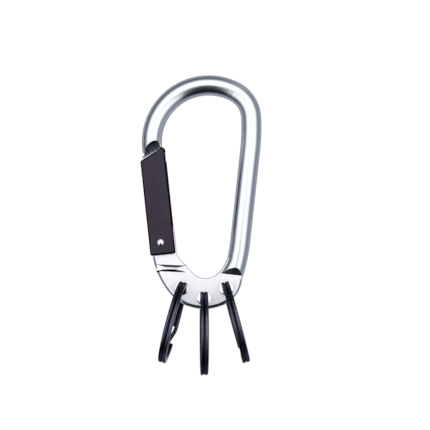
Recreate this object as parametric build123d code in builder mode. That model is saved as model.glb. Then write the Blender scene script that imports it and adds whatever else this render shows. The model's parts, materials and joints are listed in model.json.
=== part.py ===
from build123d import *
import math
import os

# Carabiner keyring: a 7 mm aluminium bar bent into a tapered loop and forged flat at the
# base, a folded sheet gate on a rivet, a spring plunger behind the gate, and three split
# rings through the base.
#
# Frame: X across the loop towards the spine, Y through the thickness, Z up.
# Origin: the point on the inside of the bow's crown where the carabiner hangs.
# Millimetres and degrees.

# ---------------------------------------------------------------- bar loop
bar_diameter = 7.0
bow_radius = 19.5  # centreline, from the gate side over the crown
shoulder_radius = 10.5  # centreline, the tight corner above the spine
spine_bend_radius = 70.0  # centreline, eases the spine into the shoulder
spine_offset = 14.5  # spine centreline to the bow's centre, at the bow centre's height
spine_lean = 6.2
spine_straight_top = -18.5  # height where the straight spine ends
spine_straight_end = -0.23  # below the pivot
spine_foot_radius = 55.0  # centreline, turns the spine in towards the base
spine_foot_turn = 13.0
foot_flare_top = 1.8  # below the pivot, where the foot starts to widen on its inside
foot_flare_inset = 0.1  # radius of the widening, less than the bar's
foot_flare_proud = 0.12  # ahead of the throat's edge
foot_flare_turn = 22.0  # round the throat, to below the ramp
gate_lean = 6.1

# ---------------------------------------------------------------- gate and pivot
pivot_drop = 32.3  # along the gate line, below the point where the bow becomes straight
pivot_offset = 0.4  # pivot outside the bar's centreline
gate_opening = 25.0
sheet = 1.0
gate_outer = 3.95  # pivot to the outer face of the web
gate_inner = 4.7  # pivot to the free edge of the cheeks
gate_bottom = 4.3  # below the pivot
gate_top = 30.4  # above the pivot, at the middle of the slanted edge
gate_slant = 27.0
gate_corner = 0.8
gate_bend = 0.7
web_top = 26.2  # the web stops short of the nose, the cheeks pass beside it
side_gap = 0.1  # cheek to flat, each side
rivet_diameter = 2.0
rivet_head_diameter = 2.25
rivet_head_height = 0.5
rivet_head_rim = 0.12
rivet_running_gap = 0.05
rivet_seat_gap = 0.01

# ---------------------------------------------------------------- flats, nose and tang
flat_thickness = 4.0
nose_end = 27.2  # above the pivot
nose_inner = 4.75  # pivot to the inner edge of the pressed nose
nose_runout = 4.4  # radius of the cutter that leaves the concave run-out
nose_root = 30.4  # start of the run-out, above the pivot
nose_root_slant = 24.5
nose_corner = 0.5
tang_top = 4.6
tang_inner = 5.05
tang_stop_gap = 0.05  # closed gate: web to tang
tang_ledge_gap = 0.3
tang_ledge = 0.45
tang_corner = 0.8
tang_rim_turn = 22.0  # the outer edge is rounded this far past the ledge before the tang is cut

# ---------------------------------------------------------------- base plate
# Places on the base are pairs: across from the origin, and below the pivot.
base_place = (-1.5, 7.37)
base_radius = 15.6
base_side_radius = 27.0  # outer edge, on the gate's side
base_heel_radius = 10.6  # outer edge, on the spine's side
base_heel_turn = -61.0  # direction in which the base edge tightens to the heel
throat_place = (-1.05, 5.87)
throat_radius = 6.4
throat_slope = 48.0
throat_corner = 2.0
throat_spine_turn = -38.0
throat_spine_drop = 3.77
heel_rise = 3.0
base_outer_edge = 1.5
base_inner_edge = 0.35

hole_diameter = 4.8
hole_circle_place = (-1.6, 8.77)
hole_rim = 5.3  # the hole circle is this much smaller than the base
hole_pitch = 48.0

foot_ramp_place = (7.4, 10.97)  # middle of the line where the spine's ramp meets the flat
foot_ramp_direction = -6.6
foot_ramp_length = 2.6

hump_place = (-12.7, 7.72)  # upper foot of the hump, at the middle of the arm
hump_direction = -2.5
hump_rise = 1.45
hump_fall = 0.85
hump_height = 0.6
hump_round = 2.1
hump_half_width = 5.0
hump_crown_radius = 22.0

# ---------------------------------------------------------------- spring and plunger
spring_height = 3.5  # above the pivot
spring_bore = 2.3
spring_bore_end = 3.5  # pivot to the bottom of the blind bore
spring_wire = 0.25
spring_diameter = 2.0
spring_coils = 4.5
plunger_gap = 0.05  # in its bore, each side
plunger_tip_gap = 0.06
plunger_dome = 1.3
plunger_length = 3.0
plunger_stem_diameter = 1.1
plunger_stem_length = 1.5

# ---------------------------------------------------------------- split rings
ring_diameter = 28.4
ring_radial = 2.0
ring_turn_height = 1.3  # one turn, along the ring's axis
ring_turn_gap = 0.03
ring_corner = 0.45
ring_hole_gap = 0.12  # rounded corner of the wire to the top of its hole
ring_window = 28.0  # angle of the crossover between the two turns
ring_window_steps = 6
ring_end_gap = 1.5
# name: place on the hole circle, lean outward, yaw, start of the crossover
rings = {
    "left_ring": (-1, 14.5, 3.5, 195.0),
    "centre_ring": (0, 0.0, -2.0, 104.0),
    "right_ring": (1, -15.0, -1.8, 229.0),
}

# ---------------------------------------------------------------- cutters
cut_clear = 1.0  # past the surface of the stock
cut_run = 14.0  # past the bar's ends
cut_reach = 12.0  # to each side of the bar

# ---------------------------------------------------------------- worked out from the sizes above
bar_radius = bar_diameter / 2
half_flat = flat_thickness / 2
cut_depth = bar_radius + cut_clear
bow_centre = (0.0, bar_radius - bow_radius)
web_face = gate_outer - sheet
tang_outer = web_face - tang_stop_gap
gate_half_depth = half_flat + side_gap + sheet


def at(centre, radius, angle):
    """Point on a circle in the XZ plane, angle from +X towards +Z."""
    turn = math.radians(angle)
    return (centre[0] + radius * math.cos(turn), centre[1] + radius * math.sin(turn))


def bearing(centre, other):
    """Direction from one point to another, as an angle from +X towards +Z."""
    return math.degrees(math.atan2(other[1] - centre[1], other[0] - centre[0])) % 360


def towards(centre, other, radius):
    """Point at a distance from one centre, in the direction of the other."""
    return at(centre, radius, bearing(centre, other))


def circles_meet(first, first_radius, second, second_radius, side):
    """Where two circles cross, on the left (side 1) or right (side -1) of first to second."""
    gap = math.dist(first, second)
    along = (gap**2 + first_radius**2 - second_radius**2) / (2 * gap)
    across = side * math.sqrt(first_radius**2 - along**2)
    step = ((second[0] - first[0]) / gap, (second[1] - first[1]) / gap)
    return (
        first[0] + along * step[0] - across * step[1],
        first[1] + along * step[1] + across * step[0],
    )


def spine_point(height):
    """Point of the straight spine's centreline."""
    return (spine_offset + (height - bow_centre[1]) * math.tan(math.radians(spine_lean)), height)


# Centres of the loop's arcs, each tangent to its neighbours.
spine_top = spine_point(spine_straight_top)
spine_bend_centre = at(spine_top, spine_bend_radius, 180.0 - spine_lean)
shoulder_centre = circles_meet(
    bow_centre, bow_radius - shoulder_radius, spine_bend_centre, spine_bend_radius - shoulder_radius, -1
)
bow_end = towards(bow_centre, shoulder_centre, bow_radius)
shoulder_end = towards(spine_bend_centre, shoulder_centre, spine_bend_radius)
gate_line_top = at(bow_centre, bow_radius, 180.0 + gate_lean)

# Gate frame: origin on the pivot, x outward, y up along the gate, z through the thickness.
gate_line_foot = at(gate_line_top, pivot_drop, gate_lean - 90.0)
pivot = at(gate_line_foot, pivot_offset, 180.0 + gate_lean)
gate_plane = Plane(
    origin=(pivot[0], 0, pivot[1]),
    x_dir=(-math.cos(math.radians(gate_lean)), 0, -math.sin(math.radians(gate_lean))),
    z_dir=(0, 1, 0),
)


def gate_point(out, up):
    """Point of the gate frame, as a point of the XZ plane."""
    place = gate_plane.from_local_coords((out, up, 0))
    return (place.X, place.Z)


def below_pivot(place):
    """Point of the XZ plane, from a place across from the origin and below the pivot."""
    return (place[0], pivot[1] - place[1])


# Spring frame: origin on the bottom of the blind bore, z along the bore towards the web.
spring_origin = gate_plane.from_local_coords((-spring_bore_end, spring_height, 0))
spring_plane = Plane(origin=spring_origin, x_dir=(0, 1, 0), z_dir=gate_plane.x_dir)

# Centres of the base plate's arcs.
base_centre = below_pivot(base_place)
throat_centre = below_pivot(throat_place)
heel_centre = at(base_centre, base_radius - base_heel_radius, base_heel_turn)
ledge_tip = gate_point(tang_outer + tang_ledge, -gate_bottom - tang_ledge_gap)
side_centre = circles_meet(
    base_centre, base_side_radius - base_radius, ledge_tip, base_side_radius, -1
)
throat_start = at(throat_centre, throat_radius, 270.0 - throat_slope)

# Top of a split ring above the centre of its hole, where the wire's rounded corners meet the wall.
ring_half_width = ring_turn_height + ring_turn_gap / 2
corner_reach = hole_diameter / 2 - ring_corner - ring_hole_gap
ring_rise = ring_corner + math.sqrt(corner_reach**2 - (ring_half_width - ring_corner) ** 2)


def tang_inner_corner():
    """Where the tang's inner edge meets the straight side of the throat."""
    start = gate_plane.to_local_coords(Vector(throat_start[0], 0, throat_start[1]))
    far_point = at(throat_start, 1.0, 180.0 - throat_slope)
    step = gate_plane.to_local_coords(Vector(far_point[0], 0, far_point[1])) - start
    run = (-tang_inner - start.X) / step.X
    return gate_point(-tang_inner, start.Y + run * step.Y)


def hole_centre(place):
    """Centre of a ring hole: place -1 is left, 0 centre, 1 right."""
    return at(below_pivot(hole_circle_place), base_radius - hole_rim, 270.0 + hole_pitch * place)


def side_plane(point, direction):
    """Plane square to a line in the XZ plane: x is up across the line, y is +Y."""
    along = Vector(math.cos(math.radians(direction)), 0, math.sin(math.radians(direction)))
    across = Vector(-along.Z, 0, along.X)
    return Plane(origin=(point[0], 0, point[1]), x_dir=across, z_dir=across.cross(Vector(0, 1, 0)))


# ---------------------------------------------------------------- carabiner body
nose_plane = side_plane(gate_point(0, nose_root), gate_lean + nose_root_slant)
foot_plane = side_plane(below_pivot(foot_ramp_place), foot_ramp_direction)
hump_plane = side_plane(below_pivot(hump_place), hump_direction)


def build_bar():
    """Round bar from the nose round the bow and down the spine, milled at both ends."""
    with BuildPart() as bar:
        with BuildLine(Plane.XZ) as loop:
            nose = Line(gate_point(-pivot_offset, nose_end), gate_line_top)
            bow = TangentArc(nose @ 1, bow_end, tangent=nose % 1)
            shoulder = TangentArc(bow @ 1, shoulder_end, tangent=bow % 1)
            bend = TangentArc(shoulder @ 1, spine_top, tangent=shoulder % 1)
            spine = Line(bend @ 1, spine_point(pivot[1] - spine_straight_end))
            JernArc(spine @ 1, spine % 1, spine_foot_radius, -spine_foot_turn)
        with BuildSketch(Plane(origin=loop.line @ 0, z_dir=loop.line % 0)):
            Circle(bar_radius)
        sweep(path=loop.line)

        # The foot widens on its inside and runs along the throat of the base.
        flare_radius = bar_radius - foot_flare_inset
        flare_reach = throat_radius + flare_radius - foot_flare_proud
        flare_start = 360 + throat_spine_turn - foot_flare_turn
        with BuildLine(Plane.XZ) as instep:
            toe = CenterArc(throat_centre, flare_reach, flare_start, foot_flare_turn)
            TangentArc(toe @ 1, spine_point(pivot[1] - foot_flare_top), tangent=toe % 1)
        with BuildSketch(Plane(origin=instep.line @ 0, z_dir=instep.line % 0)):
            Circle(flare_radius)
        sweep(path=instep.line)

        # The nose's flats end in the concave run-out of the cutter.
        runout_turn = math.degrees(math.acos(1 - (cut_depth - half_flat) / nose_runout))
        with BuildSketch(nose_plane):
            with BuildLine():
                flat = Line((-cut_run, half_flat), (0, half_flat))
                curve = JernArc(flat @ 1, (1, 0), nose_runout, runout_turn)
                Polyline(curve @ 1, (-cut_run, cut_depth), flat @ 0)
            make_face()
            mirror(about=Plane.XZ)
        extrude(amount=cut_reach, both=True, mode=Mode.SUBTRACT)

        # The foot of the spine meets the flats along a ramp.
        ramp_run = foot_ramp_length * (cut_depth - half_flat) / (bar_radius - half_flat)
        with BuildSketch(foot_plane):
            with BuildLine():
                Polyline(
                    (-cut_run, half_flat),
                    (0, half_flat),
                    (ramp_run, cut_depth),
                    (-cut_run, cut_depth),
                    close=True,
                )
            make_face()
            mirror(about=Plane.XZ)
        extrude(amount=cut_reach, both=True, mode=Mode.SUBTRACT)
    return bar.part


def arcs_of(part, radius):
    """Edges of a part that are arcs of this radius."""
    arcs = part.edges().filter_by(GeomType.CIRCLE)
    return arcs.filter_by(lambda arc: math.isclose(arc.radius, radius, rel_tol=1e-6))


def build_plate():
    """Base plate and tang, one flat with rounded edges."""
    side_start = bearing(side_centre, ledge_tip)
    side_end = bearing(side_centre, base_centre)
    side_top = side_start - tang_rim_turn
    spine_inside = spine_point(pivot[1] - throat_spine_drop)
    throat_end = (spine_inside[0] - bar_radius + base_inner_edge, spine_inside[1])
    throat_size = throat_slope + 90 + throat_spine_turn
    ledge_up = -gate_bottom - tang_ledge_gap
    past_top = 2 * tang_top
    with BuildPart() as plate:
        with BuildSketch(Plane.XZ) as outline:
            with BuildLine():
                # Outer edge, from beside the tang round the base and up inside the foot of the bar.
                side = CenterArc(side_centre, base_side_radius, side_top, side_end - side_top)
                CenterArc(base_centre, base_radius, side_end, base_heel_turn + 360 - side_end)
                heel = CenterArc(heel_centre, base_heel_radius, base_heel_turn, -base_heel_turn)
                heel_top = Line(heel @ 1, heel @ 1 + Vector(0, heel_rise))
                Polyline(heel_top @ 1, spine_inside, throat_end)
                # Throat of the loop, back up to the tang.
                throat = CenterArc(throat_centre, throat_radius, 270 - throat_slope, throat_size)
                TangentArc(throat @ 1, throat_end, tangent=throat % 1)
                Polyline(throat @ 0, tang_inner_corner(), gate_point(-tang_inner, tang_top), side @ 0)
            make_face()
            for place, radius in (
                (tang_inner_corner(), throat_corner),
                (gate_point(-tang_inner, tang_top), tang_corner),
            ):
                fillet(outline.vertices().sort_by_distance((*place, 0))[0], radius)
        extrude(amount=half_flat, both=True)
        # Each rounding runs on along the edges tangent to its arc.
        fillet(arcs_of(plate, base_radius), base_outer_edge)
        fillet(arcs_of(plate, throat_radius), base_inner_edge)

        # Outside of the tang: a ledge under the gate's web, the closed gate's stop above it, then
        # a relief that the open gate lies along.
        with BuildSketch(gate_plane):
            with BuildLine():
                stop = Line((tang_outer, ledge_up), (tang_outer, 0))
                turn = CenterArc((0, 0), tang_outer, 0, gate_opening)
                relief = Line(turn @ 1, turn @ 1 + (turn % 1) * past_top)
                Polyline(relief @ 1, (cut_reach, past_top), (cut_reach, ledge_up), stop @ 0)
            make_face()
        extrude(amount=cut_depth, both=True, mode=Mode.SUBTRACT)
    return plate.part


def build_nose_flat():
    """Pressed nose: the flat that the gate's cheeks close on, wider than the bar on the inside."""
    outer = bar_radius - pivot_offset
    with BuildPart() as nose_flat:
        with BuildSketch(gate_plane) as outline:
            with BuildLine():
                Polyline(
                    (outer, nose_end),
                    (outer, nose_root),
                    (0, nose_root + bar_radius),
                    (-outer, nose_root + bar_radius),
                    (-nose_inner, nose_root),
                    (-nose_inner, nose_end),
                    close=True,
                )
            make_face()
            fillet(outline.vertices().group_by(Axis.Y)[0], nose_corner)
            fillet(outline.vertices().sort_by_distance((-nose_inner, nose_root, 0))[0], bar_radius)
        extrude(amount=half_flat, both=True)
    return nose_flat.part


def build_hump():
    """Ridge left standing across the arm, on both sides, between the plate and the tang."""
    crest = half_flat + hump_height
    foot = half_flat - base_inner_edge
    round_turn = math.degrees(math.acos(1 - (crest - foot) / hump_round))
    with BuildPart() as hump:
        with BuildSketch(hump_plane):
            with BuildLine():
                rise = JernArc((-hump_rise, crest), (1, 0), hump_round, -round_turn)
                fall_run = hump_fall * (crest - foot) / hump_height
                fall_foot = -hump_rise - fall_run
                Polyline(rise @ 0, (fall_foot, foot), (fall_foot, 0), (0, 0), rise @ 1)
            make_face()
            mirror(about=Plane.XZ)
        extrude(amount=hump_half_width, both=True)
        # The crown falls away towards both sides of the arm.
        across = Plane(origin=hump_plane.origin, x_dir=hump_plane.z_dir, z_dir=hump_plane.x_dir)
        with BuildSketch(across):
            with Locations((0, crest - hump_crown_radius)):
                Circle(hump_crown_radius)
            with Locations((0, hump_crown_radius - crest)):
                Circle(hump_crown_radius, mode=Mode.INTERSECT)
        extrude(amount=cut_reach, both=True, mode=Mode.INTERSECT)
    return hump.part


def build_body():
    """The whole forging: bar, nose, plate, hump and holes."""
    with BuildPart() as carabiner_body:
        add(build_bar())
        add(build_plate())
        add(build_nose_flat())
        add(build_hump())
        with BuildSketch(Plane.XZ):
            with Locations(*(hole_centre(place) for place, lean, yaw, window_start in rings.values())):
                Circle(hole_diameter / 2)
        extrude(amount=bar_diameter, both=True, mode=Mode.SUBTRACT)
        with BuildSketch(gate_plane):
            Circle(rivet_diameter / 2 + rivet_running_gap)
        extrude(amount=bar_diameter, both=True, mode=Mode.SUBTRACT)
        with BuildSketch(spring_plane):
            Circle(spring_bore / 2)
        extrude(amount=cut_reach, mode=Mode.SUBTRACT)
    carabiner_body.part.label = "carabiner_body"
    return carabiner_body.part


def build_gate():
    """Channel folded from sheet: a web outside and two cheeks, open to the inside of the loop."""
    slope = math.tan(math.radians(gate_slant))
    middle = (gate_outer - gate_inner) / 2
    outer_top = gate_top - slope * (gate_outer - middle)
    inner_top = gate_top + slope * (gate_inner + middle)
    with BuildPart() as gate:
        with BuildSketch(gate_plane) as side:
            with BuildLine():
                Polyline(
                    (gate_outer, -gate_bottom),
                    (gate_outer, outer_top),
                    (-gate_inner, inner_top),
                    (-gate_inner, -gate_bottom),
                    close=True,
                )
            make_face()
            fillet(side.vertices(), gate_corner)
        extrude(amount=gate_half_depth, both=True)
        bends = gate.edges().filter_by(Axis(gate_plane.origin, gate_plane.y_dir))
        fillet(bends.sort_by(Axis.X)[:2], gate_bend)
        with BuildSketch(gate_plane):
            with Locations((web_face - cut_reach, 0)):
                Rectangle(2 * cut_reach, 2 * (inner_top + cut_clear))
        extrude(amount=half_flat + side_gap, both=True, mode=Mode.SUBTRACT)
        with BuildSketch(gate_plane):
            with Locations((0, web_top)):
                Rectangle(2 * cut_reach, cut_reach, align=(Align.CENTER, Align.MIN))
        extrude(amount=half_flat + side_gap, both=True, mode=Mode.SUBTRACT)
        with BuildSketch(gate_plane):
            Circle(rivet_diameter / 2 + rivet_seat_gap)
        extrude(amount=bar_diameter, both=True, mode=Mode.SUBTRACT)
    gate.part.label = "gate"
    return gate.part


def build_rivet():
    """Pivot pin, peened to a domed head over each cheek."""
    head_radius = rivet_head_diameter / 2
    pin_radius = rivet_diameter / 2
    rivet_plane = Plane(origin=gate_plane.origin, x_dir=gate_plane.x_dir, z_dir=gate_plane.y_dir)
    seat = gate_half_depth + rivet_seat_gap
    dome_height = rivet_head_height - rivet_head_rim
    dome_radius = (head_radius**2 + dome_height**2) / (2 * dome_height)
    with BuildPart() as gate_rivet:
        with BuildSketch(rivet_plane):
            with BuildLine():
                dome_turn = math.degrees(math.asin(head_radius / dome_radius))
                dome = JernArc((0, seat + rivet_head_height), (1, 0), dome_radius, -dome_turn)
                Polyline(dome @ 1, (head_radius, seat), (pin_radius, seat), (pin_radius, 0), (0, 0), dome @ 0)
            make_face()
            mirror(about=Plane.XZ)
        revolve(axis=Axis(gate_plane.origin, (0, 1, 0)))
    gate_rivet.part.label = "gate_rivet"
    return gate_rivet.part


def build_plunger():
    """Pin between the spring and the gate's web: domed head, shoulder for the spring, stem inside it."""
    radius = spring_bore / 2 - plunger_gap
    tip = spring_bore_end + web_face - plunger_tip_gap
    dome_turn = math.degrees(math.asin(radius / plunger_dome))
    with BuildPart() as spring_plunger:
        with BuildSketch(Plane(origin=spring_origin, x_dir=gate_plane.y_dir, z_dir=(0, -1, 0))):
            with BuildLine():
                dome = JernArc((0, tip), (1, 0), plunger_dome, -dome_turn)
                Polyline(
                    dome @ 1,
                    (radius, tip - plunger_length),
                    (plunger_stem_diameter / 2, tip - plunger_length),
                    (plunger_stem_diameter / 2, tip - plunger_length - plunger_stem_length),
                    (0, tip - plunger_length - plunger_stem_length),
                    dome @ 0,
                )
            make_face()
        revolve(axis=Axis(spring_origin, spring_plane.z_dir))
    spring_plunger.part.label = "spring_plunger"
    return spring_plunger.part


def build_spring():
    """Compression spring in the tang's bore, at its length with the gate closed."""
    shoulder_height = spring_bore_end + web_face - plunger_tip_gap - plunger_length
    length = shoulder_height - 2 * spring_wire
    with BuildPart() as gate_spring:
        with BuildLine():
            coil = Helix(
                pitch=length / spring_coils,
                height=length,
                radius=(spring_diameter - spring_wire) / 2,
                center=spring_plane.from_local_coords((0, 0, spring_wire)),
                direction=spring_plane.z_dir,
            )
        with BuildSketch(Plane(origin=coil @ 0, z_dir=coil % 0)):
            Circle(spring_wire / 2)
        sweep()
    gate_spring.part.label = "gate_spring"
    return gate_spring.part


def build_ring(name, hole, lean, yaw, window_start):
    """Split ring: two turns of one wire side by side, joined by a crossover.

    Angles run from the strand nearest -Y, over the top, to the far strand.
    """
    down = Vector(-math.sin(math.radians(lean)), 0, -math.cos(math.radians(lean)))
    near = Vector(0, -1, 0).rotate(Axis((0, 0, 0), down), yaw)
    axis = near.cross(-down)
    centre = Vector(hole[0], 0, hole[1]) + down * (ring_diameter / 2 - ring_rise)
    middle = (ring_diameter - ring_radial) / 2
    offset = (ring_turn_height + ring_turn_gap) / 2

    def wire_plane(angle, height):
        """Plane square to the wire at an angle, x outward, y along the ring's axis."""
        turn = math.radians(angle)
        outward = near * math.cos(turn) - down * math.sin(turn)
        place = centre + outward * middle + axis * height
        return Plane(origin=place, x_dir=outward, z_dir=outward.cross(axis))

    turn_size = 360 - ring_window - ring_end_gap
    window_end = window_start + ring_window
    with BuildPart() as ring:
        with BuildSketch(wire_plane(window_start, -offset)):
            RectangleRounded(ring_radial, ring_turn_height, ring_corner)
        revolve(axis=Axis(centre, axis), revolution_arc=-turn_size)
        with BuildSketch(wire_plane(window_end, offset)):
            RectangleRounded(ring_radial, ring_turn_height, ring_corner)
        revolve(axis=Axis(centre, axis), revolution_arc=turn_size)
        for step in range(ring_window_steps + 1):
            share = step / ring_window_steps
            height = offset * (2 * share * share * (3 - 2 * share) - 1)
            with BuildSketch(wire_plane(window_start + share * ring_window, height)):
                RectangleRounded(ring_radial, ring_turn_height, ring_corner)
        loft()
    ring.part.label = name
    return ring.part


os.makedirs("parts", exist_ok=True)
pieces = [build_body(), build_gate(), build_rivet(), build_plunger(), build_spring()]
for name, (place, lean, yaw, window_start) in rings.items():
    pieces.append(build_ring(name, hole_centre(place), lean, yaw, window_start))
for piece in pieces:
    export_step(piece, f"parts/{piece.label}.step")
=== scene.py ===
import json
import math

import bmesh
import bpy
from mathutils import Matrix, Vector


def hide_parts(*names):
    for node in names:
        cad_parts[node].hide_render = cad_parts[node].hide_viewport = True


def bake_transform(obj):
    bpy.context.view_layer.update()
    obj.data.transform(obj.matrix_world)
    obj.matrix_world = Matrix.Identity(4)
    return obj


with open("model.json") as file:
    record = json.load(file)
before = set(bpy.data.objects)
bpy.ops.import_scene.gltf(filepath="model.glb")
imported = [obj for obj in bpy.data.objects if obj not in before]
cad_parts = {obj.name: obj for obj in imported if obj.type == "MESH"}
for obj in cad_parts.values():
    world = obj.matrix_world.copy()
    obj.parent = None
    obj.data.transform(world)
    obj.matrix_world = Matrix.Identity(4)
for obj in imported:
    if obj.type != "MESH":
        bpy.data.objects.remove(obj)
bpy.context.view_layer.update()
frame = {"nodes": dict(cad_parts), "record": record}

MM = 0.001

joints = {joint["name"]: joint for joint in frame["record"]["behaviour"]["joints"]}
pivot = Vector(joints["gate_hinge"]["pos_m"])
inward = Vector(joints["plunger_slide"]["axis"]).normalized()  # from the gate into the loop
gate_up = Vector((-inward.z, 0, inward.x))  # along the gate, towards the bow

# A soft step is written as a pair: where it starts and where it is full.
# Steps on a face's direction read how squarely it looks to the front or back, up to 1.
FLAT_FACING = (0.985, 0.998)
FLAT_DEPTH = (2.6 * MM, 2.3 * MM)  # the pressed flats lie near the middle plane
RIM_FACING = (0.99, 0.93)
RIM_DEPTH = (2.06 * MM, 2.0 * MM)
RIM_HEIGHT = (-50 * MM, -54 * MM)  # only the base has a smooth forged rim
EDGE_RUB = (0.99, 0.93)  # how far a rounded edge turns away from its face

# The cutter's concave run-out above the gate, which is laid in a dark painted shade.
RUNOUT_FOOT = pivot + gate_up * 30.4 * MM
RUNOUT_TURN = math.radians(30.6)
RUNOUT_RADIUS = 4.4 * MM
RUNOUT_FLAT = 2.0 * MM
RUNOUT_SIDE = (6.0 * MM, 5.0 * MM)
RUNOUT_SKIN = (0.05 * MM, 0.03 * MM)  # either side of the cutter's curve
RUNOUT_START = (-0.02 * MM, 0.10 * MM)
RUNOUT_END = (4.3 * MM, 4.0 * MM)

# The hump across the arm. Its steps lie between two depths and two heights, and take a painted shade.
HUMP_FOOT = Vector((-12.7, 0, -57.95)) * MM
HUMP_TURN = math.radians(-2.5)
STEP_FACING = (0.965, 0.90)
STEP_INNER = (1.98 * MM, 2.06 * MM)
STEP_OUTER = (2.75 * MM, 2.65 * MM)
STEP_BOTTOM = (-3.2 * MM, -3.0 * MM)
STEP_TOP = (0.6 * MM, 0.4 * MM)
STEP_SIDE = (-6.0 * MM, -6.5 * MM)  # the arm only, not the foot of the spine

GATE_HEM_PAINTED_SHADOW = (-3.5 * MM, -3.75 * MM)  # painted shadow on the lower edge of the gate, along it from the pivot

# Lean outward and yaw of each split ring, in degrees.
RING_LIES = {"left_ring": (14.5, 3.5), "centre_ring": (0.0, -2.0), "right_ring": (-15.0, -1.8)}

# Sockets of a Mix node: its factor, its two numbers and its two colours.
FACTOR, NUMBER_A, NUMBER_B, COLOUR_A, COLOUR_B = 0, 2, 3, 6, 7


# ------------------------------------------------------------------ nodes
def colour(code):
    """Linear colour from an sRGB hex code."""
    channels = [int(code[i:i + 2], 16) / 255 for i in (1, 3, 5)]
    linear = [c / 12.92 if c <= 0.04045 else ((c + 0.055) / 1.055) ** 2.4 for c in channels]
    return (*linear, 1.0)


def add(tree, kind, inputs=None, **settings):
    """A node with its settings, values and links.

    An input given as a node takes the output that the node has in use.
    """
    node = tree.nodes.new("ShaderNode" + kind)
    for name, value in settings.items():
        setattr(node, name, value)
    for name, value in (inputs or {}).items():
        if isinstance(value, bpy.types.Node):
            value = next(output for output in value.outputs if output.enabled)
        if isinstance(value, bpy.types.NodeSocket):
            tree.links.new(value, node.inputs[name])
        else:
            node.inputs[name].default_value = value
    return node


def new_tree(name):
    """An empty material, its node tree and its object coordinates."""
    material = bpy.data.materials.new(name)
    material.use_nodes = True
    material.node_tree.nodes.clear()
    return material, material.node_tree, add(material.node_tree, "TexCoord")


def masked(tree, *steps):
    """Product of soft steps, each given as a value, where it starts and where it is full."""
    product = 1.0
    for value, start, full in steps:
        rising = start < full
        step = add(
            tree, "MapRange",
            {
                "Value": value, "From Min": min(start, full), "From Max": max(start, full),
                "To Min": 0.0 if rising else 1.0, "To Max": 1.0 if rising else 0.0,
            },
            interpolation_type="SMOOTHSTEP",
        )
        product = add(tree, "Math", {0: product, 1: step}, operation="MULTIPLY")
    return product


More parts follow.
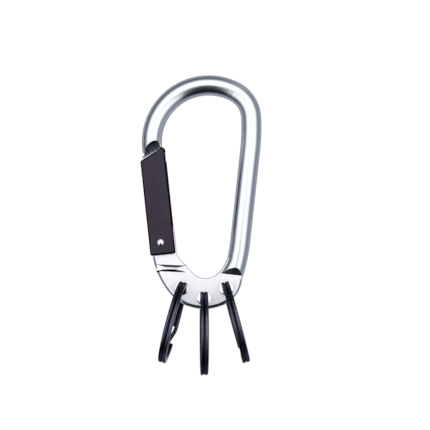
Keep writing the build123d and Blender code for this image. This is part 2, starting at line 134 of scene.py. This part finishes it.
# ------------------------------------------------------------------ materials
def blasted_aluminium():
    """Bead-blasted, clear anodised aluminium bar.

    Blasting spreads the tent's light into soft bands with a fine grain where they meet. The pressed
    flats are matte and nearly white, and the forged rim is smoother. The cutter's run-out is laid in
    a dark painted shade with fine parallel marks, and the hump's steps in a grey painted shade.
    """
    material, tree, where = new_tree("bead_blasted_clear_anodised_aluminium")
    place = where.outputs["Object"]
    spot = add(tree, "SeparateXYZ", {0: place})
    facing = add(tree, "SeparateXYZ", {0: where.outputs["Normal"]})
    depth = add(tree, "Math", {0: spot.outputs["Y"]}, operation="ABSOLUTE")
    front = add(tree, "Math", {0: facing.outputs["Y"]}, operation="ABSOLUTE")
    flat = masked(tree, (front, *FLAT_FACING), (depth, *FLAT_DEPTH))
    rim = masked(tree, (front, *RIM_FACING), (depth, *RIM_DEPTH), (spot.outputs["Z"], *RIM_HEIGHT))

    # The run-out's own frame: X along its slanted foot, Z up the cutter's curve.
    turned = add(
        tree, "Mapping",
        {"Vector": place, "Location": RUNOUT_FOOT, "Rotation": (0, -RUNOUT_TURN, 0)},
        vector_type="TEXTURE",
    )
    cut = add(tree, "SeparateXYZ", {0: turned})
    up = add(tree, "Math", {0: cut.outputs["Z"], 1: 0.0}, operation="MAXIMUM")
    square = add(tree, "Math", {0: up, 1: 2.0}, operation="POWER")
    square = add(tree, "Math", {0: RUNOUT_RADIUS**2, 1: square}, operation="SUBTRACT")
    drop = add(tree, "Math", {0: square}, operation="SQRT")
    curve = add(tree, "Math", {0: RUNOUT_FLAT + RUNOUT_RADIUS, 1: drop}, operation="SUBTRACT")
    over = add(tree, "Math", {0: depth, 1: curve}, operation="SUBTRACT")
    aside = add(tree, "Math", {0: cut.outputs["X"]}, operation="ABSOLUTE")
    under = (-limit for limit in RUNOUT_SKIN)
    # Painted shade: where the run-out's dark tone is laid.
    milled_painted_shade = masked(
        tree, (over, *RUNOUT_SKIN), (over, *under), (cut.outputs["Z"], *RUNOUT_START),
        (cut.outputs["Z"], *RUNOUT_END), (aside, *RUNOUT_SIDE),
    )
    # The steps of the hump, which take a grey painted shade where their slopes turn from the front.
    turned_hump = add(
        tree, "Mapping",
        {"Vector": place, "Location": HUMP_FOOT, "Rotation": (0, -HUMP_TURN, 0)},
        vector_type="TEXTURE",
    )
    hump = add(tree, "SeparateXYZ", {0: turned_hump})
    steps_painted_shade = masked(
        tree, (front, *STEP_FACING), (depth, *STEP_INNER), (depth, *STEP_OUTER),
        (hump.outputs["Z"], *STEP_BOTTOM), (hump.outputs["Z"], *STEP_TOP),
        (spot.outputs["X"], *STEP_SIDE),
    )

    # Blasting grit leaves pits of about a third of a millimetre, and finer tooth between them.
    grit = add(
        tree, "TexNoise",
        {"Vector": place, "Scale": 1 / (0.32 * MM), "Detail": 3.0, "Roughness": 0.6},
    )
    tooth = add(tree, "TexNoise", {"Vector": place, "Scale": 1 / (0.09 * MM), "Detail": 2.0})
    # Uneven anodising drifts over about 6 mm.
    drift = add(tree, "TexNoise", {"Vector": place, "Scale": 1 / (6 * MM), "Detail": 2.0})
    # Cutter marks stand about half a millimetre apart along the run-out's foot, with finer ones
    # between, and run up its curve.
    stretched = add(tree, "Mapping", {"Vector": turned, "Scale": (1.0, 0.08, 0.08)})
    marks = add(
        tree, "TexNoise",
        {"Vector": stretched, "Scale": 1 / (0.5 * MM), "Detail": 3.0, "Roughness": 0.7},
    )
    marks = masked(tree, (marks, 0.35, 0.70))

    # A rounded normal along the sharp edges, where handling has rubbed the blasting smooth.
    eased = add(tree, "Bevel", {"Radius": 0.16 * MM}, samples=6)
    truth = add(tree, "NewGeometry")
    agree = add(tree, "VectorMath", {0: eased, 1: truth.outputs["Normal"]}, operation="DOT_PRODUCT")
    rubbed = masked(tree, (agree, *EDGE_RUB))

    skin = add(
        tree, "Mix",
        {FACTOR: drift, COLOUR_A: colour("#dcdee4"), COLOUR_B: colour("#e8eaee")},
        data_type="RGBA",
    )
    pressed = add(
        tree, "Mix",
        {FACTOR: masked(tree, (grit, 0.40, 0.62)), COLOUR_A: colour("#f3f0f8"), COLOUR_B: colour("#fefeff")},
        data_type="RGBA",
    )
    base = add(tree, "Mix", {FACTOR: flat, COLOUR_A: skin, COLOUR_B: pressed}, data_type="RGBA")
    # Painted shade: the run-out's cutter marks laid in dark grey-blue tones.
    cut_marks_painted_shade = add(
        tree, "Mix", {FACTOR: marks, COLOUR_A: colour("#3a3c48"), COLOUR_B: colour("#646674")},
        data_type="RGBA",
    )
    rubbed_bright = add(tree, "Math", {0: rubbed, 1: 0.6}, operation="MULTIPLY")
    # Laid over the base: painted shade on the run-out and on the hump's steps, then rubbed wear on the
    # edges.
    tones = ((milled_painted_shade, cut_marks_painted_shade), (steps_painted_shade, colour("#50525e")), (rubbed_bright, colour("#f4f5f8")))
    for mask, tone in tones:
        base = add(tree, "Mix", {FACTOR: mask, COLOUR_A: base, COLOUR_B: tone}, data_type="RGBA")

    rough = add(
        tree, "MapRange",
        {"Value": grit, "From Min": 0.3, "From Max": 0.7, "To Min": 0.17, "To Max": 0.23},
    )
    # The grit's roughness, except where the press, the forge, the cutter or handling changed it.
    for mask, changed in ((flat, 0.42), (rim, 0.11), (milled_painted_shade, 0.26), (steps_painted_shade, 0.14), (rubbed, 0.16)):
        rough = add(tree, "Mix", {FACTOR: mask, NUMBER_A: rough, NUMBER_B: changed})
    # The blasted flats scatter most of the light, as frosted metal does.
    metallic = add(tree, "Mix", {FACTOR: flat, NUMBER_A: 1.0, NUMBER_B: 0.22})
    normal = add(tree, "Bump", {"Height": grit, "Distance": 0.0022 * MM, "Normal": eased})
    normal = add(tree, "Bump", {"Height": tooth, "Distance": 0.0008 * MM, "Normal": normal})
    shader = add(
        tree, "BsdfPrincipled",
        {"Base Color": base, "Metallic": metallic, "Roughness": rough, "Normal": normal},
    )
    add(tree, "OutputMaterial", {"Surface": shader})
    return material


def dyed_sheet():
    """Black dyed anodised sheet, folded into the gate.

    The faces have a plum-black sheen. Round every turn of the sheet, where the faces look away,
    a thin black line of painted shade is laid; along the lower border it widens into painted shadow.
    """
    material, tree, where = new_tree("black_dyed_anodised_folded_aluminium_sheet")
    place = where.outputs["Object"]
    facing = add(tree, "SeparateXYZ", {0: where.outputs["Normal"]})
    front = add(tree, "Math", {0: facing.outputs["Y"]}, operation="ABSOLUTE")
    along = add(tree, "VectorMath", {0: place, 1: tuple(gate_up)}, operation="DOT_PRODUCT")
    along = add(tree, "Math", {0: along, 1: pivot.dot(gate_up)}, operation="SUBTRACT")
    # Painted shade on the turned-away rims, and painted shadow along the lower border.
    edge_painted_shade = masked(tree, (front, 0.995, 0.93))
    hem_painted_shadow = masked(tree, (along, *GATE_HEM_PAINTED_SHADOW))
    outline_painted_shade = add(tree, "Math", {0: edge_painted_shade, 1: hem_painted_shadow}, operation="MAXIMUM")

    # The sheet's rolled grain is about a quarter of a millimetre, and the dye drifts over 5 mm.
    grain = add(
        tree, "TexNoise",
        {"Vector": place, "Scale": 1 / (0.25 * MM), "Detail": 3.0, "Roughness": 0.6},
    )
    drift = add(tree, "TexNoise", {"Vector": place, "Scale": 1 / (5 * MM), "Detail": 3.0})
    # Handling marks: short faint rubs half a millimetre apart.
    rub_place = add(tree, "Mapping", {"Vector": place, "Scale": (1.0, 1.0, 0.12)})
    rubs = add(tree, "TexNoise", {"Vector": rub_place, "Scale": 1 / (0.5 * MM), "Detail": 2.0})
    eased = add(tree, "Bevel", {"Radius": 0.14 * MM}, samples=6)
    truth = add(tree, "NewGeometry")
    agree = add(tree, "VectorMath", {0: eased, 1: truth.outputs["Normal"]}, operation="DOT_PRODUCT")
    worn = masked(tree, (agree, 0.985, 0.93), (rubs, 0.52, 0.66))

    base = add(
        tree, "Mix", {FACTOR: drift, COLOUR_A: colour("#38323d"), COLOUR_B: colour("#443d4a")},
        data_type="RGBA",
    )
    # The painted shade and shadow in near-black, then the wear in grey.
    for mask, tone in ((outline_painted_shade, colour("#0c0b0e")), (worn, colour("#57525c"))):
        base = add(tree, "Mix", {FACTOR: mask, COLOUR_A: base, COLOUR_B: tone}, data_type="RGBA")
    rough = add(
        tree, "MapRange",
        {"Value": grain, "From Min": 0.3, "From Max": 0.7, "To Min": 0.30, "To Max": 0.38},
    )
    rough = add(tree, "Mix", {FACTOR: masked(tree, (rubs, 0.55, 0.70)), NUMBER_A: rough, NUMBER_B: 0.28})
    normal = add(tree, "Bump", {"Height": grain, "Distance": 0.003 * MM, "Normal": eased})
    shader = add(
        tree, "BsdfPrincipled",
        {
            "Base Color": base, "Metallic": 1.0, "Roughness": rough, "Normal": normal,
            "Specular Tint": colour("#101014"),
        },
    )
    add(tree, "OutputMaterial", {"Surface": shader})
    return material


def coated_wire(ring):
    """Gloss black coating on rolled steel wire: blue-black, with painted highlight lines along each turn."""
    material, tree, where = new_tree("gloss_black_coated_steel_wire_" + ring.split("_")[0])
    lean, yaw = (math.radians(angle) for angle in RING_LIES[ring])
    up = Vector((math.sin(lean), 0, math.cos(lean)))
    near = Matrix.Rotation(yaw, 3, -up) @ Vector((0, -1, 0))
    axis = near.cross(up)
    hole = Vector(joints[ring + "_swing"]["pos_m"])
    place = where.outputs["Object"]
    across = add(tree, "VectorMath", {0: place, 1: tuple(axis)}, operation="DOT_PRODUCT")
    across = add(tree, "Math", {0: across, 1: hole.dot(axis)}, operation="SUBTRACT")
    # Rolling leaves lines up to 0.8 mm apart, with finer ones between, that run a long way round. They raise
    # bumps and also carry painted highlights.
    slow = add(tree, "VectorMath", {0: place, "Scale": 0.03}, operation="SCALE")
    slow = add(tree, "SeparateXYZ", {0: slow})
    streak_place = add(tree, "CombineXYZ", {"X": across, "Y": slow.outputs["Y"], "Z": slow.outputs["Z"]})
    streaks_and_painted_highlights = add(
        tree, "TexNoise",
        {"Vector": streak_place, "Scale": 1 / (0.8 * MM), "Detail": 2.0, "Roughness": 0.6},
    )
    drift = add(tree, "TexNoise", {"Vector": place, "Scale": 1 / (3 * MM), "Detail": 3.0})
    grain = add(tree, "TexNoise", {"Vector": place, "Scale": 1 / (0.15 * MM), "Detail": 2.0})
    # Painted highlight: the tops of the lines are laid in pale lavender-grey over blue-black.
    bright = masked(tree, (streaks_and_painted_highlights, 0.42, 0.66))
    base = add(
        tree, "Mix", {FACTOR: bright, COLOUR_A: colour("#12151f"), COLOUR_B: colour("#6a6c84")},
        data_type="RGBA",
    )
    deep = add(tree, "Math", {0: drift, 1: 0.2}, operation="MULTIPLY")
    base = add(tree, "Mix", {FACTOR: deep, COLOUR_A: base, COLOUR_B: colour("#0d1424")}, data_type="RGBA")
    rough = add(
        tree, "MapRange",
        {"Value": grain, "From Min": 0.3, "From Max": 0.7, "To Min": 0.22, "To Max": 0.32},
    )
    normal = add(tree, "Bump", {"Height": streaks_and_painted_highlights, "Distance": 0.012 * MM})
    shader = add(
        tree, "BsdfPrincipled",
        {
            "Base Color": base, "Metallic": 1.0, "Roughness": rough, "Normal": normal,
            "Specular Tint": colour("#8c8c9e"), "Coat Weight": 0.25, "Coat Roughness": 0.12,
        },
    )
    add(tree, "OutputMaterial", {"Surface": shader})
    return material


def peened_steel():
    """Peened bright steel: a polished dome with a few soft hammer facets."""
    material, tree, where = new_tree("peened_bright_steel")
    place = where.outputs["Object"]
    facets = add(tree, "TexNoise", {"Vector": place, "Scale": 1 / (0.6 * MM), "Detail": 1.0})
    grain = add(tree, "TexNoise", {"Vector": place, "Scale": 1 / (0.12 * MM), "Detail": 2.0})
    base = add(
        tree, "Mix", {FACTOR: facets, COLOUR_A: colour("#d9d8dc"), COLOUR_B: colour("#efeff2")},
        data_type="RGBA",
    )
    rough = add(
        tree, "MapRange",
        {"Value": grain, "From Min": 0.3, "From Max": 0.7, "To Min": 0.14, "To Max": 0.24},
    )
    normal = add(tree, "Bump", {"Height": facets, "Distance": 0.03 * MM})
    shader = add(
        tree, "BsdfPrincipled",
        {"Base Color": base, "Metallic": 1.0, "Roughness": rough, "Normal": normal},
    )
    add(tree, "OutputMaterial", {"Surface": shader})
    return material


def drawn_spring_wire():
    """Drawn spring steel: straw-grey wire with fine die marks."""
    material, tree, where = new_tree("drawn_spring_steel_wire")
    place = where.outputs["Object"]
    die_marks = add(tree, "TexNoise", {"Vector": place, "Scale": 1 / (0.08 * MM), "Detail": 2.0})
    base = add(
        tree, "Mix", {FACTOR: die_marks, COLOUR_A: colour("#a9a7a2"), COLOUR_B: colour("#c2c0ba")},
        data_type="RGBA",
    )
    rough = add(
        tree, "MapRange",
        {"Value": die_marks, "From Min": 0.3, "From Max": 0.7, "To Min": 0.25, "To Max": 0.4},
    )
    normal = add(tree, "Bump", {"Height": die_marks, "Distance": 0.002 * MM})
    shader = add(
        tree, "BsdfPrincipled",
        {"Base Color": base, "Metallic": 1.0, "Roughness": rough, "Normal": normal},
    )
    add(tree, "OutputMaterial", {"Surface": shader})
    return material


steel = peened_steel()
finishes = {
    "carabiner_body": blasted_aluminium(),
    "gate": dyed_sheet(),
    "gate_rivet": steel,
    "spring_plunger": steel,
    "gate_spring": drawn_spring_wire(),
    **{ring: coated_wire(ring) for ring in RING_LIES},
}
for node_name, finish in finishes.items():
    for slot in frame["nodes"][node_name].material_slots:
        slot.material = finish


def wind_return_spring(finish):
    """The return spring's coil, which closes up between its bore and the plunger as the gate opens. Here it
    is a welded, smooth-shaded copy of the spring, fixed in its imported shape.
    """
    mesh = frame["nodes"]["gate_spring"].data.copy()
    wire = bmesh.new()
    wire.from_mesh(mesh)
    bmesh.ops.remove_doubles(wire, verts=wire.verts, dist=0.001 * MM)
    bmesh.ops.recalc_face_normals(wire, faces=wire.faces)
    wire.to_mesh(mesh)
    wire.free()
    mesh.materials.clear()
    mesh.materials.append(finish)
    mesh.shade_smooth()
    coil = bpy.data.objects.new("return_spring_coil", mesh)
    bpy.context.scene.collection.objects.link(coil)
    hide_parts("gate_spring")
    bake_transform(coil)


wind_return_spring(finishes["gate_spring"])


# ------------------------------------------------------------------ stage
def lay_floor():
    """Matte white card under the keyring, with a faint paper tooth."""
    material, tree, where = new_tree("matte_white_card")
    place = where.outputs["Object"]
    tooth = add(tree, "TexNoise", {"Vector": place, "Scale": 1 / (2 * MM), "Detail": 3.0})
    base = add(
        tree, "Mix", {FACTOR: tooth, COLOUR_A: colour("#eeeeee"), COLOUR_B: colour("#f2f2f2")},
        data_type="RGBA",
    )
    shader = add(tree, "BsdfPrincipled", {"Base Color": base, "Roughness": 0.9})
    add(tree, "OutputMaterial", {"Surface": shader})
    half, height = 0.31, -0.245
    mesh = bpy.data.meshes.new("floor")
    corners = [(-half, -half, height), (half, -half, height), (half, half, height), (-half, half, height)]
    mesh.from_pydata(corners, [], [(0, 1, 2, 3)])
    mesh.materials.append(material)
    floor = bpy.data.objects.new("floor", mesh)
    floor.visible_glossy = False
    bpy.context.scene.collection.objects.link(floor)


def light_tent():
    """A white tent lit from the front: a broad soft light round the camera, grey walls that are dim
    at the sides and most of all on the left, and the dark shape of the stand under the camera."""
    wall_level, front_level, backdrop_level = 0.50, 1.30, 1.02
    matte_fill = 1.4  # matte surfaces take more light from the tent than the metal mirrors
    panel_lift, stand_shade = 0.45, 0.98
    left_dim, right_dim = 0.70, 0.30
    panel_aim = (0.5, 0.0, 0.866)
    world = bpy.data.worlds.new("light_tent")
    bpy.context.scene.world = world
    world.use_nodes = True
    tree = world.node_tree
    tree.nodes.clear()
    look = add(tree, "TexCoord").outputs["Generated"]
    axes = add(tree, "SeparateXYZ", {0: look})
    x, y, z = (axes.outputs[axis] for axis in "XYZ")

    # Dim sides of the tent, with a pale panel up on the right.
    towards_panel = add(tree, "VectorMath", {0: look, 1: panel_aim}, operation="DOT_PRODUCT")
    panel = masked(tree, (towards_panel, 0.95, 0.995))
    pale = add(tree, "Math", {0: panel, 1: panel_lift}, operation="MULTIPLY")
    dim = add(
        tree, "MapRange",
        {"Value": x, "From Min": 0.0, "From Max": 0.9, "To Min": left_dim, "To Max": right_dim},
        interpolation_type="SMOOTHSTEP",
    )
    dim = add(tree, "Math", {0: dim, 1: pale}, operation="SUBTRACT", use_clamp=True)
    side = masked(tree, (y, -0.45, -0.10), (y, 0.42, -0.02))
    dim = add(tree, "Math", {0: dim, 1: side}, operation="MULTIPLY")
    kept = add(tree, "Math", {0: 1.0, 1: dim}, operation="SUBTRACT")
    walls = add(tree, "Math", {0: kept, 1: wall_level}, operation="MULTIPLY")
    # Soft light round the camera.
    front = add(tree, "Math", {0: y, 1: -1.0}, operation="MULTIPLY")
    light = masked(tree, (front, 0.33, 0.69))
    light = add(tree, "Math", {0: light, 1: front_level}, operation="MULTIPLY")
    level = add(tree, "Math", {0: walls, 1: light}, operation="MAXIMUM")
    # A small pale panel straight behind, which only the edges and the back of the keyring mirror.
    level = add(tree, "Math", {0: level, 1: masked(tree, (y, 0.86, 0.95))}, operation="MAXIMUM")
    # Stand: a wedge that widens downwards from just under the camera.
    below = add(tree, "Math", {0: 0.05, 1: z}, operation="SUBTRACT")
    below = add(tree, "Math", {0: below, 1: 0.02}, operation="MAXIMUM")
    spread = add(tree, "Math", {0: x, 1: below}, operation="DIVIDE")
    stand = masked(
        tree, (spread, -0.58, -0.34), (spread, 0.72, 0.52), (z, 0.0, -0.06), (y, 0.12, -0.15)
    )
    stand = add(tree, "Math", {0: stand, 1: stand_shade}, operation="MULTIPLY")
    lit = add(tree, "Math", {0: 1.0, 1: stand}, operation="SUBTRACT")
    level = add(tree, "Math", {0: level, 1: lit}, operation="MULTIPLY")
    tint = add(
        tree, "Mix",
        {FACTOR: masked(tree, (level, 0.3, 1.0)), COLOUR_A: colour("#d8e2f4"), COLOUR_B: colour("#ffffff")},
        data_type="RGBA",
    )

    path = add(tree, "LightPath")
    fill = add(
        tree, "MapRange",
        {"Value": path.outputs["Is Diffuse Ray"], "To Min": 1.0, "To Max": matte_fill},
    )
    level = add(tree, "Math", {0: level, 1: fill}, operation="MULTIPLY")

    tent = add(tree, "Background", {"Color": tint, "Strength": level})
    backdrop = add(tree, "Background", {"Color": colour("#ffffff"), "Strength": backdrop_level})
    both = add(tree, "MixShader", {0: path.outputs["Is Camera Ray"], 1: tent, 2: backdrop})
    add(tree, "OutputWorld", {"Surface": both})


def set_camera():
    """Camera square to the front of the keyring, at arm's length."""
    data = bpy.data.cameras.new("camera")
    data.sensor_width = 36.0
    data.lens = 73.2
    data.clip_start = 0.01
    camera = bpy.data.objects.new("camera", data)
    camera.location = (0.00215, -0.300, -0.04092)
    camera.rotation_euler = (math.radians(90), 0, 0)
    bpy.context.scene.collection.objects.link(camera)
    bpy.context.scene.camera = camera
    bpy.context.scene.view_settings.view_transform = "Standard"


lay_floor()
light_tent()
set_camera()
